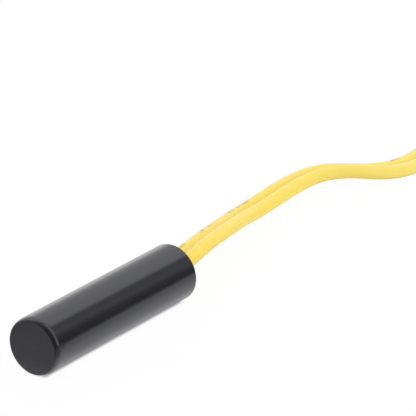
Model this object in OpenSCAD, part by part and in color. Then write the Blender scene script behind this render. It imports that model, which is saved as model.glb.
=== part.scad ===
// Defrost temperature sensor: a potted thermistor probe on a twin lead with a two-way plug.
// Millimetres. The probe lies on its side along X, its closed tip towards -X.
// The origin is below the middle of the probe, on the surface that everything lies on.

/* [Probe shell] */
// Outer diameter of the moulded shell
cap_d = 6.0; // [5.6:0.1:7]
// Length of the shell, closed tip to open mouth
cap_l = 22.5; // [21:0.5:25]
// Wall of the shell at its open mouth
cap_wall = 0.5; // [0.35:0.05:0.6]
// Thickness of the closed tip
tip_wall = 0.9; // [0.6:0.1:1.4]
// Radius that the bore loses from mouth to tip, so that the shell leaves its mould
bore_draft = 0.1; // [0.05:0.01:0.15]
// Rounding of the edge round the tip
tip_round = 0.45; // [0.15:0.05:0.5]
// Rounding of the edge round the mouth
mouth_round = 0.2; // [0.05:0.05:0.2]
// Diameter of the dimple that the moulding gate leaves in the tip
gate_d = 0.6; // [0.4:0.1:1.2]
// Depth of the gate dimple
gate_depth = 0.05; // [0.05:0.05:0.2]

/* [Potting] */
// Depth of the resin's level middle below the mouth
fill_drop = 0.6; // [0.4:0.1:1.2]
// Height that the resin climbs up the wall
fill_climb = 0.3; // [0.1:0.05:0.35]
// Resin between the tip and the thermistor bead
tip_fill = 0.8; // [0.4:0.1:1.2]

/* [Thermistor] */
// Diameter of the coated bead
bead_d = 2.2; // [1.8:0.1:2.6]
// Length of the coated bead
bead_l = 3.4; // [3:0.1:4]
// Diameter of the bead's coating where the legs leave it
bead_neck_d = 1.3; // [1.2:0.1:1.7]
// Side of the square thermistor chip
chip_side = 1.0; // [0.7:0.1:1.2]
// Thickness of the chip between its two legs
chip_t = 0.4; // [0.3:0.05:0.5]
// Diameter of each leg
leg_d = 0.3; // [0.2:0.05:0.35]
// Length over which the legs spread, from the bead to their straight run
leg_spread_l = 1.3; // [1:0.1:1.8]
// Length of the legs' straight run in front of the splices
leg_run_l = 3.8; // [3:0.1:4.4]
// Wall of the sleeve on each leg
sleeve_wall = 0.2; // [0.1:0.05:0.25]
// Free space round the leg inside its sleeve
sleeve_play = 0.05; // [0.02:0.01:0.08]

/* [Splices] */
// Length of each crimped splice barrel
splice_l = 2.2; // [1.6:0.1:2.6]
// Wall of the splice barrel
splice_wall = 0.18; // [0.12:0.02:0.2]
// Overlap of leg and core with the barrel's far end
splice_overlap = 0.3; // [0.1:0.1:0.5]
// Wall of the shrink tube over each splice
shrink_wall = 0.12; // [0.08:0.02:0.14]
// Reach of the shrink tube past each end of its barrel
shrink_over = 0.5; // [0.3:0.1:0.8]
// Length of bare core between the barrel and the lead's jacket
bare_core_l = 1.6; // [1.2:0.1:2]

/* [Twin lead] */
// Whole length of the lead, from its end in the resin to its ends in the terminals
lead_l = 440; // [430:5:470]
// Outer diameter of each of the two joined wires
wire_d = 1.55; // [1.5:0.05:1.6]
// Diameter of each wire's stranded core
core_d = 0.6; // [0.4:0.05:0.7]
// Distance of the lead's middle from the shell's axis, to the side
exit_side = 0.4; // [0:0.1:0.5]
// Distance of the lead's middle above the shell's axis
exit_up = 0.4; // [0:0.1:0.5]

/* [Hank and tie] */
// Space between neighbouring runs of the hank
lane_gap = 0.05; // [0.02:0.01:0.1]
// Radius of the outermost fold, at the middle of the lead
fold_r = 11.8; // [11.4:0.1:12.4]
// Width of the tie's strap
tie_w = 2.5; // [2:0.1:3.5]
// Thickness of the tie's strap
tie_t = 0.8; // [0.5:0.1:1]
// Length of the tie's head along the strap
tie_head_l = 4.4; // [3.6:0.1:5]
// Width of the tie's head
tie_head_w = 4.0; // [3.6:0.1:4.6]
// Depth of the tie's head, out from the bundle
tie_head_t = 2.8; // [2.4:0.1:3.4]
// Length of trimmed strap beyond the head
tie_end_l = 1.6; // [0.8:0.1:2.4]

/* [Plug housing] */
// Distance between the two contacts
pitch = 2.5; // [2.5:0.1:3]
// Length of the housing
plug_l = 9.8; // [9.6:0.1:11]
// Width of the housing's collar
plug_w = 7.4; // [7.2:0.1:8.4]
// Height of the housing
plug_h = 5.8; // [5.4:0.1:6.4]
// Step on each side between the collar and the narrower nose
plug_step = 0.45; // [0.2:0.05:0.55]
// Length of the collar
collar_l = 3.2; // [2.4:0.1:4]
// Width of each contact cavity
cavity_w = 2.15; // [2.1:0.01:2.2]
// Height of each contact cavity
cavity_h = 2.4; // [2.25:0.05:2.6]
// Thickness of the wall that the posts enter through
front_wall = 1.1; // [0.9:0.1:1.2]
// Side of each square post hole
post_hole = 1.1; // [0.9:0.1:1.3]
// Width of the two polarising ribs
rib_w = 0.8; // [0.6:0.1:1]
// Height of the two polarising ribs
rib_h = 0.7; // [0.4:0.1:0.9]
// Length of the window over each contact
window_l = 2.4; // [2:0.1:2.8]
// Width of the window over each contact
window_w = 1.3; // [1:0.1:1.5]

/* [Crimp contacts] */
// Thickness of the contact's sheet
sheet_t = 0.22; // [0.18:0.02:0.25]
// Length of the crimp on the insulation
grip_l = 1.4; // [1:0.1:1.6]
// Length of the crimp on the bare core
crimp_l = 1.7; // [1.3:0.1:1.8]
// Gap between the two crimps
crimp_gap = 0.5; // [0.4:0.1:0.7]
// Length of the box that grips the post
socket_l = 3.4; // [3:0.1:3.5]
// Outer side of the square box that grips the post
socket_side = 1.8; // [1.6:0.05:1.9]
// Depth of the contact behind the housing's rear face
contact_depth = 0.5; // [0.4:0.1:0.6]
// Height of the locking tongue above the box
tongue_rise = 0.45; // [0.35:0.05:0.6]

/* [Hidden] */
$fn = 48;

// A small overlap for cuts, so that no face is left by chance
eps = 0.01;
// Points on a quarter of a rounded edge, and on a fold of the hank
arc_steps = 5;
fold_steps = 24;

// Heights and ends of the probe
axis_z = cap_d / 2;
tip_x = -cap_l / 2;
mouth_x = cap_l / 2;
bore_x = tip_x + tip_wall;
bore_mouth_r = cap_d / 2 - cap_wall;
bore_tip_r = bore_mouth_r - bore_draft;
lead_y = exit_side;
lead_z = axis_z + exit_up;

// Places along the probe, from the tip to the lead's jacket
bead_x = bore_x + tip_fill;
bead_end_x = bead_x + bead_l;
run_x = bead_end_x + leg_spread_l;
barrel_x = run_x + leg_run_l;
barrel_end_x = barrel_x + splice_l;
jacket_x = barrel_end_x + bare_core_l;
chip_x = bead_x + bead_d / 2 - chip_side / 2;

// A leg lies on the chip's face, and above the core inside the barrel
leg_in = chip_t / 2 + leg_d / 2;
leg_out = wire_d / 2;
leg_up = (core_d + leg_d) / 2;
sleeve_d = leg_d + 2 * (sleeve_play + sleeve_wall);

// The flat lead: two wires side by side
lead_w = 2 * wire_d;
wire_r = wire_d / 2;
lead_sides = 8;

// Route of the free lead: distance from the mouth, side, height, roll in degrees.
// It sinks from the mouth to the surface, makes one S-bend and rises on edge at the hank.
free_points = [
    [2, 0.5, 3.4, -5], [4, 0.9, 3.4, -9], [6, 1.4, 3.3, -12], [9, 2.2, 3.0, -12],
    [12, 3.0, 2.6, -12], [15, 3.9, 2.1, -11], [18, 4.8, 1.6, -8], [21, 5.4, 1.2, -6],
    [24, 5.9, 1.0, -5], [27, 6.2, 1.0, -5], [30, 6.4, 1.0, -6], [32, 6.3, 1.0, -8],
    [33.6, 6.0, 1.1, -9], [35.1, 5.3, 1.1, -11], [36.5, 4.0, 1.1, -17], [37.5, 2.3, 1.1, -18],
    [38.8, 0.7, 1.0, -10], [40.5, -0.4, 1.0, 0], [42.5, -0.8, 1.0, -1], [45, -0.9, 1.0, 4],
    [47.3, -0.7, 1.2, 18], [49.5, 0.1, 1.3, 33], [51.5, 1.1, 1.4, 48], [54, 2.4, 1.5, 62],
    [56.5, 3.8, 1.6, 75], [58.7, 5.1, 1.6, 85], [60.4, 5.8, 1.6, 90], [62.4, 6.3, 1.6, 90],
    [63.7, 6.4, 1.6, 90], [64.5, 6.4, 1.6, 90]
];
// Straight length between the mouth and the first bend
exit_run = 0.8;
free_route = concat(
    [[jacket_x, lead_y, lead_z, 0], [mouth_x, lead_y, lead_z, 0], [mouth_x + exit_run, lead_y, lead_z, 0]],
    [for (p = free_points) [mouth_x + p[0], p[1], p[2], p[3]]]
);
free_end = free_route[len(free_route) - 1];

// Route of the tail, from the end of the hank's last fold: it heads back towards -X inside
// the hank, turns from its edge to lie flat and comes to the middle before the two wires part.
tail_points = [
    [0, 0, 1.6, 90], [-1, 0, 1.6, 90], [-3, 0.2, 1.6, 86], [-5.5, 0.9, 1.6, 74], [-8, 2.1, 1.5, 58],
    [-10.5, 3.6, 1.3, 40], [-13, 5.2, 1.1, 22], [-15.5, 6.5, 0.9, 8], [-18, 7.2, 0.8, 0], [-21, 7.4, 0.8, 0]
];
// Each parted wire, from the same point: distance, share of the spread, share of the rise
fork_points = [[-22, 0.05, 0.03], [-24, 0.35, 0.25], [-26, 0.8, 0.7], [-28, 1, 1]];
// Overlap of the parted wires with the end of the flat tail
fork_overlap = 1;
// Distance from the end of the last fold back to the plug's rear face
rear_dx = -29.5;
tail_end = tail_points[len(tail_points) - 1];
tail_y = tail_end[1];
tail_z = tail_end[2];
function wire_points(side) = [for (p = concat([[tail_end[0] + fork_overlap, 0, 0]], fork_points,
        [[rear_dx - wire_end_x, 1, 1]]))
    [p[0], tail_y + side * (wire_r + p[1] * (pitch / 2 - wire_r)), tail_z + p[2] * (contact_z - tail_z), 0]];

// Length of a route given by its points
function route_length(pts) = len(pts) < 2 ? 0 : step_sum(pts, len(pts) - 2);
function xyz(p) = [p[0], p[1], p[2]];
function step_sum(pts, i) = norm(xyz(pts[i + 1]) - xyz(pts[i])) + (i == 0 ? 0 : step_sum(pts, i - 1));

// Places along the plug, from its rear face towards the posts
grip_x = contact_depth;
crimp_x = grip_x + grip_l + crimp_gap;
socket_end_x = plug_l - front_wall;
socket_x = socket_end_x - socket_l;
wire_end_x = grip_x + grip_l + crimp_gap / 4;
contact_z = plug_h / 2;

// The hank: runs that lie side by side on edge, joined by half-round folds at both ends.
// Each fold brings the lead half a lane further in. Runs 0, 2 and 4 are the upper side.
folds = 5;
lane_step = wire_d + lane_gap;
function lane_r(k) = fold_r - k * lane_step / 2;
fold_l = PI * (folds * fold_r - lane_step * folds * folds / 4);
straight_l = route_length(free_route) + route_length(tail_points) + route_length(wire_points(1)) - fork_overlap;
run_l = (lead_l - straight_l - fold_l) / folds;
hank_start_x = free_end[0];
hank_end_x = hank_start_x + run_l;
hank_y = free_end[1] - fold_r;
hank_exit = [hank_end_x, hank_y - lane_r(folds)];
function from_exit(pts) = [for (p = pts) [hank_exit[0] + p[0], hank_exit[1] + p[1], p[2], p[3]]];

// Points round the fold after run k, moved outwards from the lead's middle
function fold_points(k, out) = let (side = k % 2 == 0 ? 1 : -1, end_x = k % 2 == 0 ? hank_end_x : hank_start_x)
    [for (i = [0:fold_steps]) let (a = 90 - 180 * i / fold_steps, r = lane_r(k + i / fold_steps) + out)
        [end_x + side * r * cos(a), hank_y + side * r * sin(a)]];

// The tied bundle, at the middle of the upper side, where three runs lie side by side
bundle_runs = 3;
bundle_w = (bundle_runs - 1) * lane_step + wire_d;
bundle_x = (hank_start_x + hank_end_x) / 2;
bundle_y = hank_y + fold_r - (bundle_w - wire_d) / 2;
head_round = 0.5;
tie_clear = 0.1;
// Free length of the contact's box behind the housing's front wall
socket_play = 0.1;

// Colours of the pieces
shell_black = "#2c2c30";
resin_black = "#18181a";
jacket_yellow = "#fbe075";
nylon_white = "#eeece2";

// Outline points of a rectangle with round corners, its middle at the origin
function corner(cx, cy, r, a0) = [for (i = [0:arc_steps]) [cx + r * cos(a0 + 90 * i / arc_steps),
    cy + r * sin(a0 + 90 * i / arc_steps)]];
function round_box(w, h, r) = concat(
    corner(w / 2 - r, h / 2 - r, r, 0), corner(r - w / 2, h / 2 - r, r, 90),
    corner(r - w / 2, r - h / 2, r, 180), corner(w / 2 - r, r - h / 2, r, 270)
);

// Turns a shape that is made along Z to lie along X
module along_x() { rotate([0, 90, 0]) children(); }

// Places a shape on the axis of the shell
module on_axis() { translate([0, 0, axis_z]) along_x() children(); }

// Section of the lead at one point of its route: two half circles and the flats between
function unit(v) = v / norm(v);
function heading(pts, i) = unit(xyz(pts[min(i + 1, len(pts) - 1)]) - xyz(pts[max(i - 1, 0)]));
function leftward(t) = unit(cross([0, 0, 1], t));
function section(p, t, spread, r) = let (s = leftward(t), u = cross(t, s), a = p[3],
        w = s * cos(a) + u * sin(a), n = u * cos(a) - s * sin(a))
    [for (i = [0:lead_sides - 1]) let (b = 360 * (i + 0.5) / lead_sides)
        xyz(p) + w * (r * cos(b) + spread * sign(cos(b))) + n * r * sin(b)];

// One solid swept along a route: spread is half the distance between the two wires' middles
module swept(pts, spread, r) {
    rings = len(pts);
    last = (rings - 1) * lead_sides;
    side_faces = [for (i = [0:rings - 2], j = [0:lead_sides - 1]) let (
            a = i * lead_sides + j, b = i * lead_sides + (j + 1) % lead_sides)
        each [[a, b + lead_sides, b], [a, a + lead_sides, b + lead_sides]]];
    end_faces = [[for (j = [0:lead_sides - 1]) j], [for (j = [lead_sides - 1:-1:0]) last + j]];
    polyhedron(
        points = [for (i = [0:rings - 1]) each section(pts[i], heading(pts, i), spread, r)],
        faces = concat(side_faces, end_faces), convexity = 8
    );
}

// The straight hole or plug of the lead's own section, from the jacket's end to past the mouth
module lead_in_resin() {
    outline = [for (i = [0:lead_sides - 1]) let (b = 360 * (i + 0.5) / lead_sides)
        [wire_r * cos(b) + wire_r * sign(cos(b)), wire_r * sin(b)]];
    translate([jacket_x, lead_y, lead_z]) rotate([90, 0, 90]) linear_extrude(cap_l) polygon(outline);
}

// Bore of the shell, from the tip's inner face to a given place
module bore_shape(end_x) {
    span = mouth_x - bore_x;
    end_r = bore_tip_r + bore_draft * (end_x - bore_x) / span;
    on_axis() translate([0, 0, bore_x]) cylinder(r1 = bore_tip_r, r2 = end_r, h = end_x - bore_x);
}

// Closed moulded tube with a rounded tip edge and a gate dimple
module probe_cap() {
    outline = concat(
        [[0, 0]],
        [for (i = [0:arc_steps]) let (a = 90 * i / arc_steps)
            [cap_d / 2 - tip_round + tip_round * sin(a), tip_round - tip_round * cos(a)]],
        [for (i = [0:arc_steps]) let (a = 90 * i / arc_steps)
            [cap_d / 2 - mouth_round + mouth_round * cos(a), cap_l - mouth_round + mouth_round * sin(a)]],
        [[0, cap_l]]
    );
    color(shell_black) difference() {
        on_axis() translate([0, 0, tip_x]) rotate_extrude() polygon(outline);
        bore_shape(mouth_x);
        on_axis() translate([0, 0, mouth_x - eps]) cylinder(r = bore_mouth_r, h = 1);
        on_axis() translate([0, 0, tip_x - 1]) cylinder(d = gate_d, h = 1 + gate_depth);
    }
}

// Resin that fills the bore round everything inside, with a hollow top where it wets the wall
module potting() {
    level_x = mouth_x - fill_drop;
    rim_x = level_x + fill_climb;
    dish_r = (bore_mouth_r * bore_mouth_r + fill_climb * fill_climb) / (2 * fill_climb);
    color(resin_black) difference() {
        bore_shape(rim_x);
        on_axis() translate([0, 0, level_x + dish_r]) sphere(r = dish_r);
        lead_in_resin();
        bead_coating_shape();
        for (side = [-1, 1]) {
            leg_shape(side);
            sleeve_shape(side);
            barrel_shape(side);
            shrink_shape(side);
            probe_core_shape(side);
        }
    }
}

// Drop of epoxy over the chip: a round head that tapers to the neck where the legs leave
module bead_coating_shape() {
    head_r = bead_d / 2;
    outline = concat(
        [for (i = [0:12]) let (a = 110 * i / 12) [head_r * sin(a), head_r - head_r * cos(a)]],
        [[bead_neck_d / 2, bead_l], [0, bead_l]]
    );
    translate([0, lead_y, lead_z]) along_x() translate([0, 0, bead_x]) rotate_extrude() polygon(outline);
}

module bead_coating() {
    color("#3a2a22") difference() {
        bead_coating_shape();
        chip_shape();
        leg_shape(-1);
        leg_shape(1);
    }
}

// Sintered chip, its two silvered faces towards the legs
module chip_shape() {
    translate([chip_x, lead_y - chip_t / 2, lead_z - chip_side / 2]) cube([chip_side, chip_t, chip_side]);
}

module thermistor_chip() { color("#55565a") chip_shape(); }

// Leg from the chip's face, spread to the barrel on its own side of the lead
module leg_shape(side) {
    chip_y = lead_y + side * leg_in;
    run_y = lead_y + side * leg_out;
    run_z = lead_z + leg_up;
    bend = leg_d;
    swept([
        [chip_x, chip_y, lead_z, 0], [bead_end_x - bend, chip_y, lead_z, 0], [bead_end_x, chip_y, lead_z, 0],
        [run_x, run_y, run_z, 0], [run_x + bend, run_y, run_z, 0],
        [barrel_end_x - splice_overlap, run_y, run_z, 0]
    ], 0, leg_d / 2);
}

module thermistor_leg(side) { color("#b9b6ad") leg_shape(side); }

// Insulating sleeve on the straight run of a leg
module sleeve_shape(side) {
    end_gap = 1.5 * leg_d;
    translate([run_x + end_gap, lead_y + side * leg_out, lead_z + leg_up]) along_x() difference() {
        cylinder(d = sleeve_d, h = leg_run_l - shrink_over - 2 * end_gap);
        translate([0, 0, -eps]) cylinder(d = leg_d + 2 * sleeve_play, h = leg_run_l);
    }
}

module leg_sleeve(side) { color("#e9e6dc") sleeve_shape(side); }

// Outline of a barrel pressed round the core below and the leg above
module barrel_outline(wall) {
    circle(d = core_d + 2 * wall);
    translate([-leg_up, 0]) circle(d = leg_d + 2 * wall);
    translate([-leg_up, -leg_d / 2 - wall]) square([leg_up, leg_d + 2 * wall]);
}

module splice_place(side, x) { translate([x, lead_y + side * leg_out, lead_z]) along_x() children(); }

module barrel_shape(side) {
    difference() {
        splice_place(side, barrel_x) linear_extrude(splice_l) barrel_outline(splice_wall);
        leg_shape(side);
        probe_core_shape(side);
    }
}

module splice_barrel(side) { color("#c9c5b8") barrel_shape(side); }

module shrink_shape(side) {
    splice_place(side, barrel_x - shrink_over) linear_extrude(splice_l + 2 * shrink_over) difference() {
        barrel_outline(splice_wall + shrink_wall);
        barrel_outline(splice_wall);
    }
}

module splice_shrink(side) { color("#202022") shrink_shape(side); }

// Bare end of the lead's core, from the jacket into the barrel
module probe_core_shape(side) {
    splice_place(side, barrel_x + splice_overlap)
        cylinder(d = core_d, h = jacket_x - barrel_x - splice_overlap);
}

module probe_core(side) { color("#c98f5a") probe_core_shape(side); }

module lead_free() { color(jacket_yellow) swept(free_route, wire_r, wire_r); }

// Outer shape of the folded lead: its outer side follows the first two folds and its inner
// side the last two, so that the lead's two ends meet it face to face
module lead_hank() {
    outer = concat([[hank_start_x, hank_y + fold_r + wire_r]], fold_points(0, wire_r), fold_points(1, wire_r));
    inner = concat([[hank_end_x, hank_y - lane_r(folds - 2) + wire_r]],
        fold_points(folds - 2, -wire_r), fold_points(folds - 1, -wire_r));
    color(jacket_yellow) difference() {
        linear_extrude(lead_w + tie_t) difference() {
            polygon(outer);
            polygon(inner);
        }
        tie_space();
    }
}

// Places a section, drawn across the lead, on the middle of the tied bundle
module on_bundle() { translate([bundle_x, bundle_y, tie_t + lead_w / 2]) rotate([90, 0, 90]) children(); }

// Space round the tied bundle, as wide as the tie's head
module tie_space() {
    span = tie_head_w + 2 * tie_clear;
    on_bundle() translate([0, 0, -span / 2]) linear_extrude(span) difference() {
        square([2 * bundle_w, 3 * lead_w], center = true);
        polygon(round_box(bundle_w, lead_w, wire_r));
    }
}

// Cable tie: a strap loop, its head on top of the bundle and the trimmed end of the strap
module hank_tie() {
    strap_top = lead_w / 2 + tie_t;
    head_h = tie_head_t + tie_t / 2;
    color("#f2f2ee") on_bundle() {
        translate([0, 0, -tie_w / 2]) linear_extrude(tie_w) difference() {
            polygon(round_box(bundle_w + 2 * tie_t, lead_w + 2 * tie_t, wire_r + tie_t));
            polygon(round_box(bundle_w, lead_w, wire_r));
        }
        translate([0, strap_top - tie_t / 2 + head_h / 2, -tie_head_w / 2]) linear_extrude(tie_head_w)
            polygon(round_box(tie_head_l, head_h, head_round));
        translate([-tie_head_l / 2 - tie_end_l, strap_top + (tie_head_t - tie_t) / 2, -tie_w / 2])
            cube([tie_end_l + eps, tie_t, tie_w]);
    }
}

module lead_tail() {
    color(jacket_yellow) union() {
        swept(from_exit(tail_points), wire_r, wire_r);
        swept(from_exit(wire_points(-1)), 0, wire_r);
        swept(from_exit(wire_points(1)), 0, wire_r);
    }
}

// The plug's own frame: +X from the rear face towards the posts, Z up from the surface
module plug_place() { translate([hank_exit[0] + rear_dx, hank_exit[1] + tail_y, 0]) rotate([0, 0, 180]) children(); }

module contact_place(side) { plug_place() translate([0, side * pitch / 2, contact_z]) children(); }

// Bare core inside the crimp of its contact
module plug_core(side) {
    color("#c98f5a") contact_place(side) translate([wire_end_x, 0, 0]) along_x()
        cylinder(d = core_d, h = crimp_x + crimp_l + crimp_gap / 2 - wire_end_x);
}

// A rolled crimp: a ring of sheet with a seam on top where its two wings meet
module rolled_crimp(inner_d, length, seam) {
    along_x() linear_extrude(length) difference() {
        circle(d = inner_d + 2 * sheet_t);
        circle(d = inner_d);
        translate([-inner_d, -seam / 2]) square([inner_d, seam]);
    }
}

// Stamped contact: insulation grip, core crimp, bent neck, split box and locking tongue
module plug_contact(side) {
    grip_floor = -wire_r - sheet_t;
    crimp_floor = -core_d / 2 - sheet_t;
    socket_floor = -socket_side / 2;
    neck_w = core_d + sheet_t;
    crimp_end_x = crimp_x + crimp_l;
    inner = socket_side - 2 * sheet_t;
    slit = 0.3;
    tongue_l = 1.5;
    color("#c8b27a") contact_place(side) {
        translate([grip_x, 0, 0]) rolled_crimp(wire_d, grip_l, core_d);
        translate([crimp_x, 0, 0]) rolled_crimp(core_d, crimp_l, sheet_t / 2);
        // The strip that joins grip, crimp and box, bent down to the floor of each
        translate([0, neck_w / 2, 0]) rotate([90, 0, 0]) linear_extrude(neck_w) polygon([
            [grip_x + grip_l - eps, grip_floor], [wire_end_x, grip_floor],
            [crimp_x, crimp_floor], [crimp_end_x, crimp_floor],
            [socket_x, socket_floor], [socket_x + eps, socket_floor],
            [socket_x + eps, socket_floor + sheet_t], [socket_x, socket_floor + sheet_t],
            [crimp_end_x, crimp_floor + sheet_t], [crimp_x, crimp_floor + sheet_t],
            [wire_end_x, grip_floor + sheet_t], [grip_x + grip_l - eps, grip_floor + sheet_t]
        ]);
        translate([socket_x, 0, 0]) along_x() linear_extrude(socket_l - socket_play) difference() {
            square(socket_side, center = true);
            square(inner, center = true);
            translate([-socket_side, -slit / 2]) square([socket_side, slit]);
        }
        // The tongue rises towards the rear, so that it catches in the housing's window
        translate([socket_x + socket_l / 2, window_w / 4, socket_side / 2]) rotate([90, 0, 0])
            linear_extrude(window_w / 2) polygon([
                [tongue_l / 2, -sheet_t / 2], [tongue_l / 2, 0],
                [-tongue_l / 2, tongue_rise], [-tongue_l / 2, tongue_rise - sheet_t]
            ]);
    }
}

// Moulded two-way housing: collar and nose, cavities, post holes, windows and polarising ribs
module plug_housing() {
    nose_w = plug_w - 2 * plug_step;
    body_h = plug_h - rib_h;
    window_x = socket_x + socket_l / 2 - window_l / 2;
    edge = 0.3;
    color(nylon_white) plug_place() difference() {
        union() {
            translate([plug_l / 2, 0, 0]) linear_extrude(body_h) polygon(round_box(plug_l, nose_w, edge));
            translate([collar_l / 2, 0, 0]) linear_extrude(body_h) polygon(round_box(collar_l, plug_w, edge));
            for (side = [-1, 1])
                translate([plug_l / 2, side * (nose_w - rib_w) / 2, body_h - eps]) linear_extrude(rib_h + eps)
                    polygon(round_box(plug_l, rib_w, edge));
        }
        for (side = [-1, 1]) translate([0, side * pitch / 2, contact_z]) {
            translate([-1, -cavity_w / 2, -cavity_h / 2]) cube([1 + socket_end_x, cavity_w, cavity_h]);
            translate([0, -post_hole / 2, -post_hole / 2]) cube([plug_l + 1, post_hole, post_hole]);
            translate([window_x, -window_w / 2, 0]) cube([window_l, window_w, plug_h]);
        }
    }
}

probe_cap();
potting();
bead_coating();
thermistor_chip();
thermistor_leg(1);  // thermistor_leg_a
thermistor_leg(-1);  // thermistor_leg_b
leg_sleeve(1);  // leg_sleeve_a
leg_sleeve(-1);  // leg_sleeve_b
splice_barrel(1);  // splice_barrel_a
splice_barrel(-1);  // splice_barrel_b
splice_shrink(1);  // splice_shrink_a
splice_shrink(-1);  // splice_shrink_b
probe_core(1);  // probe_core_a
probe_core(-1);  // probe_core_b
lead_free();
lead_hank();
lead_tail();
hank_tie();
plug_core(1);  // plug_core_a
plug_core(-1);  // plug_core_b
plug_contact(1);  // plug_contact_a
plug_contact(-1);  // plug_contact_b
plug_housing();
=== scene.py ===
# Looks of the defrost sensor: a potted probe on a flat twin lead, which is folded in a tied
# hank and ends in a two-way plug. Blender works in metres, so sizes here are written in
# millimetres times MM.
import math

import bmesh
import bpy
import numpy as np
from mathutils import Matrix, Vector


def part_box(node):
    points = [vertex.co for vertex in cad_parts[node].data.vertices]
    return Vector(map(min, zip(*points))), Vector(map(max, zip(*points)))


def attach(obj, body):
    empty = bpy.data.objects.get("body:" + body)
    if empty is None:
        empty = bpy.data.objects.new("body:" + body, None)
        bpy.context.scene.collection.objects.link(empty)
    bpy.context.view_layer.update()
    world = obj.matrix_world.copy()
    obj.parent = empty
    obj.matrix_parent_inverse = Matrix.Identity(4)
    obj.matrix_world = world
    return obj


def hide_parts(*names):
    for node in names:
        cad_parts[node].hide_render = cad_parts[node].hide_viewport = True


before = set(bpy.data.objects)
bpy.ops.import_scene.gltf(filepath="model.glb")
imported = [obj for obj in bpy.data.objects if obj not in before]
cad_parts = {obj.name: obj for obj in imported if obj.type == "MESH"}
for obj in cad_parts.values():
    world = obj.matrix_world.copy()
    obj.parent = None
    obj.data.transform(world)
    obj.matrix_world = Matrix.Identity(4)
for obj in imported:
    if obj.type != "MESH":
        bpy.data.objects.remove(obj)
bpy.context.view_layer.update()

MM = 0.001
# Points nearer to each other than this count as one
CLOSE = MM / 1000
scene = bpy.context.scene

# Camera, in the part's frame
CAMERA_PLACE = Vector((-234.15, -185.68, 139.49)) * MM
CAMERA_AIM = Vector((10.48, -4.94, 11.45)) * MM
CAMERA_LENS = 288.43
SENSOR_WIDTH = 36.0

# Probe shell, from its solid. Its tip edge is rounded further along the axis than across it
CAP_LOW, CAP_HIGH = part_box("probe_cap")
TIP_X = CAP_LOW.x
MOUTH_X = CAP_HIGH.x
CAP_R = (CAP_HIGH.z - CAP_LOW.z) / 2
AXIS_Z = CAP_R
TIP_ROUND = 0.26 * MM
TIP_REACH = 0.75 * MM
MOUTH_ROUND = 0.2 * MM
CAP_WALL = 0.5 * MM
TIP_WALL = 0.9 * MM
BORE_DRAFT = 0.1 * MM
GATE_R = 0.3 * MM
GATE_DEPTH = 0.02 * MM
BORE_EDGE = 0.04 * MM
# A ring of points this far beyond each rounding keeps the flat part flat in the shading
HOLD = 0.03 * MM
SHELL_ROUNDS = 144

# Resin in the open mouth: how far it lies in, and how it creeps up the wall and up the lead
FILL_DROP = 0.6 * MM
WALL_CLIMB = 0.3 * MM
LEAD_CLIMB = 0.35 * MM
CREEP_REACH = 0.3 * MM
RESIN_ROUNDS = 96
RESIN_RINGS = 28
# Above 1, the rings stand closer together near the wall
RING_CROWDING = 1.3

# The flat lead: two round wires side by side, joined by a thin web
WIRE_R = 0.775 * MM
LEAD_W = 4 * WIRE_R
CORE_D = 0.6 * MM
EXIT = Vector((MOUTH_X, 0.4 * MM, 3.4 * MM))
RING_STEP = 0.9 * MM
# Steps that measure the curve between two points of a route
CURVE_STEPS = 16
# Section: points on each wire's whole circle, those that the web takes on each side of its middle,
# and the angles of the round groove over the web
CIRCLE_POINTS = 32
WEB_POINTS = 2
GROOVE_ANGLES = (-124, -90, -56)

# Route of the free lead, in millimetres: distance from the mouth, side, height, roll in degrees
FREE_POINTS = [
    [2, 0.5, 3.4, -5], [4, 0.9, 3.4, -9], [6, 1.4, 3.3, -12], [9, 2.2, 3.0, -12],
    [12, 3.0, 2.6, -12], [15, 3.9, 2.1, -11], [18, 4.8, 1.6, -8], [21, 5.4, 1.2, -6],
    [24, 5.9, 1.0, -5], [27, 6.2, 1.0, -5], [30, 6.4, 1.0, -6], [32, 6.3, 1.0, -8],
    [33.6, 6.0, 1.1, -9], [35.1, 5.3, 1.1, -11], [36.5, 4.0, 1.1, -17], [37.5, 2.3, 1.1, -18],
    [38.8, 0.7, 1.0, -10], [40.5, -0.4, 1.0, 0], [42.5, -0.8, 1.0, -1], [45, -0.9, 1.0, 4],
    [47.3, -0.7, 1.2, 18], [49.5, 0.1, 1.3, 33], [51.5, 1.1, 1.4, 48], [54, 2.4, 1.5, 62],
    [56.5, 3.8, 1.6, 75], [58.7, 5.1, 1.6, 85], [60.4, 5.8, 1.6, 90], [62.4, 6.3, 1.6, 90],
    [63.7, 6.4, 1.6, 90], [64.5, 6.4, 1.6, 90],
]
# Route of the tail, from the end of the hank's last fold
TAIL_POINTS = [
    [0, 0, 1.6, 90], [-1, 0, 1.6, 90], [-3, 0.2, 1.6, 86], [-5.5, 0.9, 1.6, 74], [-8, 2.1, 1.5, 58],
    [-10.5, 3.6, 1.3, 40], [-13, 5.2, 1.1, 22], [-15.5, 6.5, 0.9, 8], [-18, 7.2, 0.8, 0],
    [-21, 7.4, 0.8, 0],
]
# Each parted wire, from the same place: distance, share of the spread, share of the rise
FORK_POINTS = [[-22, 0.05, 0.03], [-24, 0.35, 0.25], [-26, 0.8, 0.7], [-28, 1, 1]]
# Places on the straight stretch out of the resin, in millimetres from the mouth
IN_RESIN = 8.5
EXIT_STEPS = [-IN_RESIN, -6, -4, -2, -1, 0, 0.8]

# Hank, from its solid: runs side by side on edge, joined by half-round folds
HANK_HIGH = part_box("lead_hank")[1]
RUNS = 5
FOLD_R = 11.8 * MM
LANE_STEP = 1.6 * MM
HANK_START_X = MOUTH_X + FREE_POINTS[-1][0] * MM
HANK_END_X = HANK_HIGH.x - (FOLD_R - LANE_STEP / 4 + WIRE_R)
HANK_Y = HANK_HIGH.y - FOLD_R - WIRE_R
RUN_POINTS = 12
FOLD_POINTS = 12

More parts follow.
